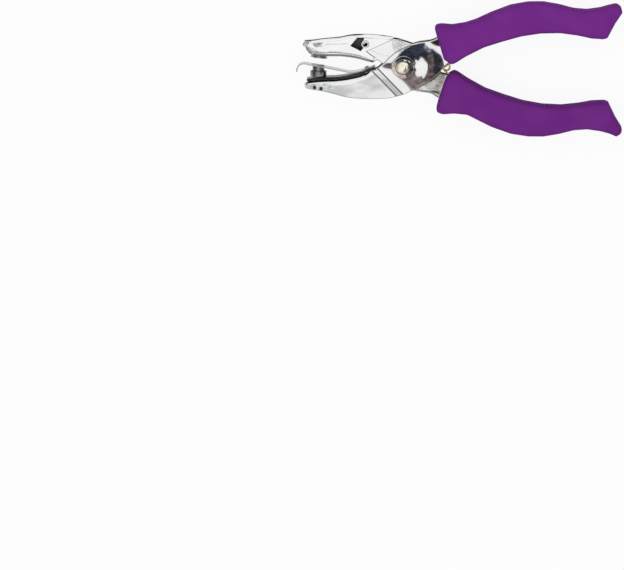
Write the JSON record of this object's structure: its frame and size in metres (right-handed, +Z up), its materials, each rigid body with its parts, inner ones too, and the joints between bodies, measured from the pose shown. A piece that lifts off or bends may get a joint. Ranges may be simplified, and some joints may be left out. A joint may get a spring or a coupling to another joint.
{
  "type": "circle hand punch",
  "caption": "Plier-type circle hand punch: two crossing chrome channel levers on a rivet, a round punch and die in the jaws, a stripper leaf and soft purple grips.",
  "frame": {"origin": "on the pivot's axis, on the flat end of the pivot rivet that the tool rests on when it lies on its side", "axes": "+X along the tool from the jaws to the handles, +Y from the lower jaw to the upper jaw, +Z up along the pivot's axis"},
  "size_m": [0.1626, 0.0674, 0.017],
  "materials": {
    "bright_plate": "bright plated steel sheet",
    "hardened_steel": "dark hardened steel",
    "spring_wire": "brass-coloured spring wire",
    "soft_vinyl": "satin purple soft vinyl"
  },
  "bodies": {
    "outer": {"outer_lever": "bright_plate", "punch_plate": "hardened_steel", "punch_pin": "bright_plate", "punch_collar": "hardened_steel", "punch_block": "hardened_steel", "nose_block_pin": "hardened_steel", "rear_block_pin": "hardened_steel", "leaf_clamp": "hardened_steel", "front_clamp_rivet": "bright_plate", "rear_clamp_rivet": "bright_plate", "pivot_rivet": "bright_plate", "front_washer": "bright_plate", "rear_washer": "bright_plate", "pivot_sleeve": "hardened_steel", "return_spring": "spring_wire", "upper_grip": "soft_vinyl"},
    "inner": {"inner_lever": "bright_plate", "chip_cover": "bright_plate", "front_eyelet": "bright_plate", "rear_eyelet": "bright_plate", "die_ring": "bright_plate", "lower_grip": "soft_vinyl"},
    "leaf": {"stripper_leaf": "bright_plate"}
  },
  "joints": [
    {"name": "squeeze", "type": "hinge", "parent": "outer", "child": "inner", "pos_m": [0, 0, 0.0085], "axis": [0, 0, 1], "range_deg": [0, 5.6], "stiffness_Nm_per_rad": 1, "springref_deg": -17.19, "deforming": ["return_spring"]},
    {"name": "leaf_flex", "type": "hinge", "parent": "outer", "child": "leaf", "pos_m": [-0.0204, -0.0022, 0.0085], "axis": [0, 0, 1], "range_deg": [0, 2.8], "stiffness_Nm_per_rad": 0.05}
  ],
  "couplings": [
    {"joint": "leaf_flex", "follows": "squeeze", "ratio": 0.5}
  ]
}
